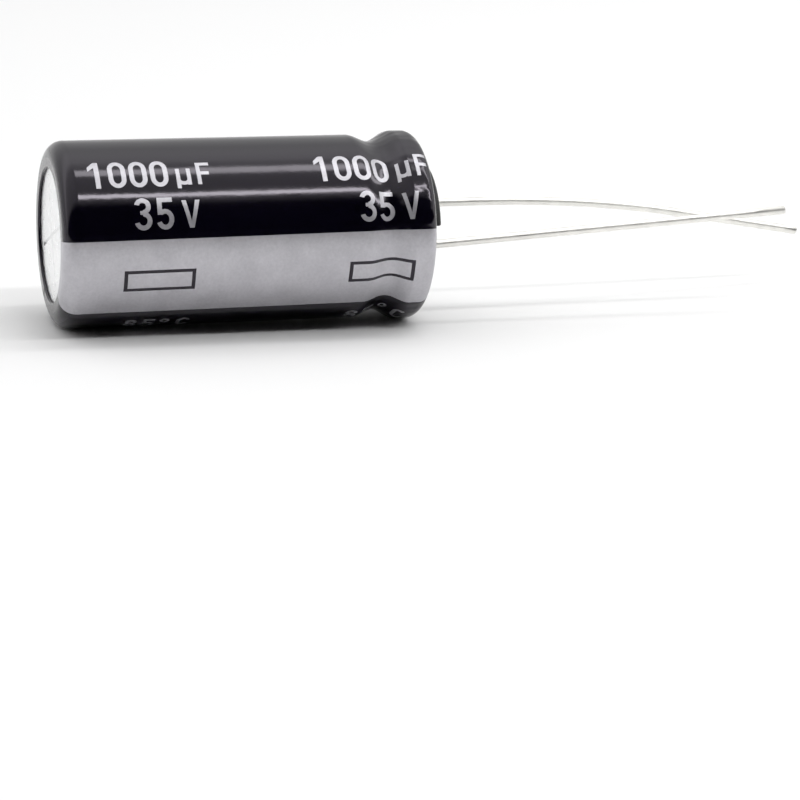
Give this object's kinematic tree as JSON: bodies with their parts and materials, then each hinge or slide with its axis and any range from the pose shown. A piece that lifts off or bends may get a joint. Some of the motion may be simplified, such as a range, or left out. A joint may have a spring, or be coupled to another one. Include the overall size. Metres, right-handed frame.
{
  "type": "radial aluminium electrolytic capacitor",
  "caption": "Sleeved cylindrical can with a bare vented end, a rolled bead and crimped collar, a rubber seal and bent wire leads; stores charge on a circuit board.",
  "frame": {"origin": "centre of the closed vent end, on the plane of the sleeve's lower edge", "axes": "+Z along the case's axis towards the leads; -Y towards the cathode lead and the stripe; +Y towards the anode lead"},
  "size_m": [0.0132, 0.0132, 0.0586],
  "materials": {
    "sleeve_film": "glossy black shrink film with light grey print",
    "can_aluminium": "drawn, fine scratches",
    "seal_rubber": "matte black",
    "wound_paper": "electrolyte-soaked paper, matte",
    "tape_film": "clear brown tape",
    "terminal_aluminium": "satin",
    "tinned_wire": "tinned, satin"
  },
  "bodies": {
    "root": {"sleeve": "sleeve_film", "can": "can_aluminium", "bung": "seal_rubber", "winding": "wound_paper", "winding_tape": "tape_film", "anode_terminal": "terminal_aluminium", "cathode_terminal": "terminal_aluminium", "anode_lead": "tinned_wire", "cathode_lead": "tinned_wire"}
  },
  "joints": []
}
